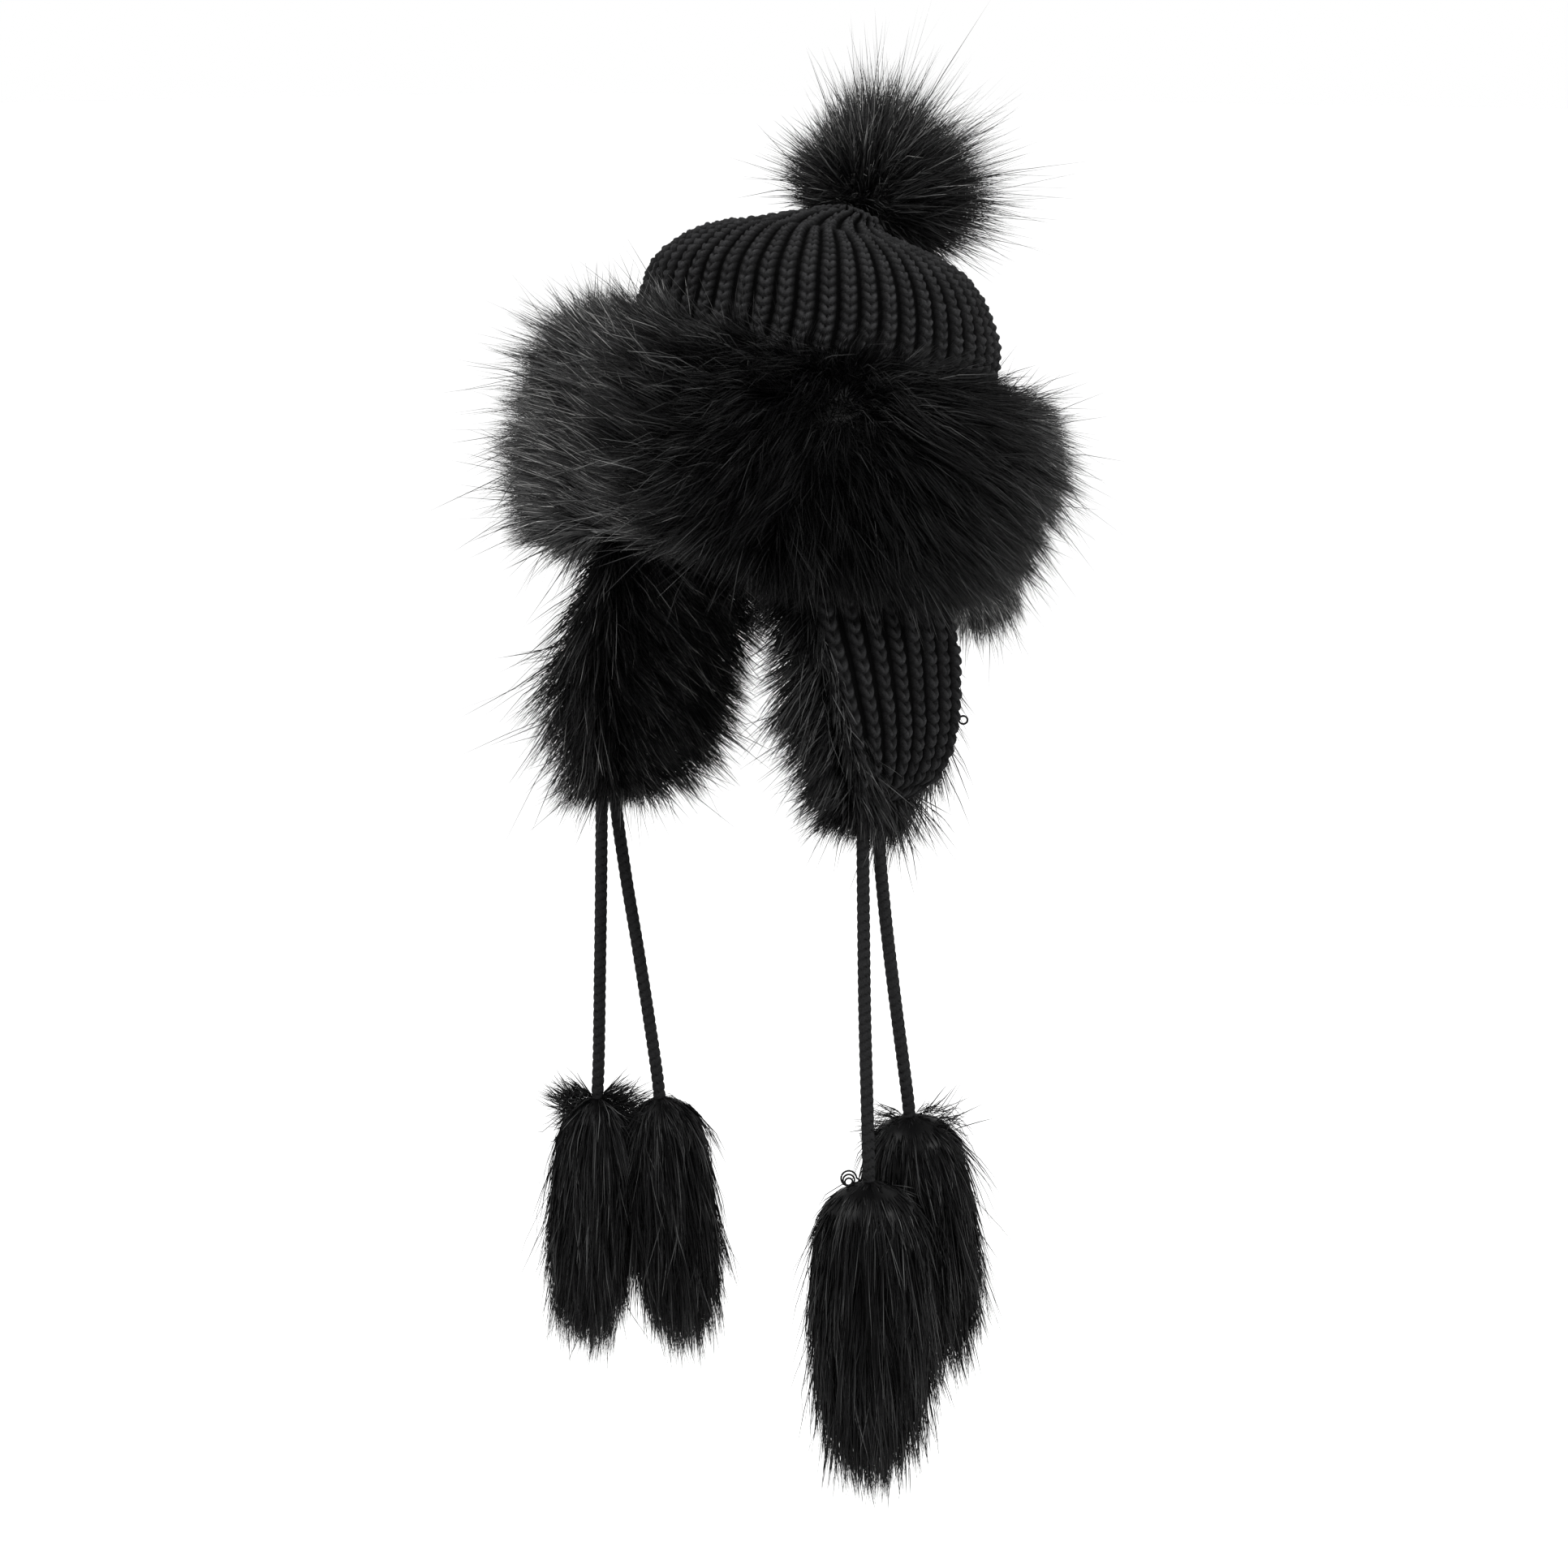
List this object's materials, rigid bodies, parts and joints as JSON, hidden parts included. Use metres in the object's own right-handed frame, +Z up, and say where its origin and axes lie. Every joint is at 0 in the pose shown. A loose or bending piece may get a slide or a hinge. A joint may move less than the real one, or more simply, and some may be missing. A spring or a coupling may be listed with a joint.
{
  "type": "knitted trapper hat with fur band, ear flaps and tassels",
  "caption": "Ribbed knit winter hat with a deep fur band, a fur pompom, fur-lined ear flaps and tie cords that end in fur tassels.",
  "frame": {"origin": "middle of the head opening, in the plane of the knitted rim", "axes": "+Z up, -Y the front where the face is, +X the wearer's left"},
  "size_m": [0.3059, 0.342, 0.743],
  "materials": {
    "knit": "matte black chunky rib knit",
    "fur": "black long-pile fur with a soft sheen",
    "cord": "matte black crocheted cord"
  },
  "bodies": {
    "root": {"knit_crown": "knit", "ear_flap_left": "knit", "ear_flap_right": "knit", "fur_band": "fur", "top_pompom": "fur", "flap_lining_left": "fur", "flap_lining_right": "fur", "tassel_left_front": "fur", "tassel_left_rear": "fur", "tassel_right_front": "fur", "tassel_right_rear": "fur", "tie_cord_left_front": "cord", "tie_cord_left_rear": "cord", "tie_cord_right_front": "cord", "tie_cord_right_rear": "cord"}
  },
  "joints": []
}
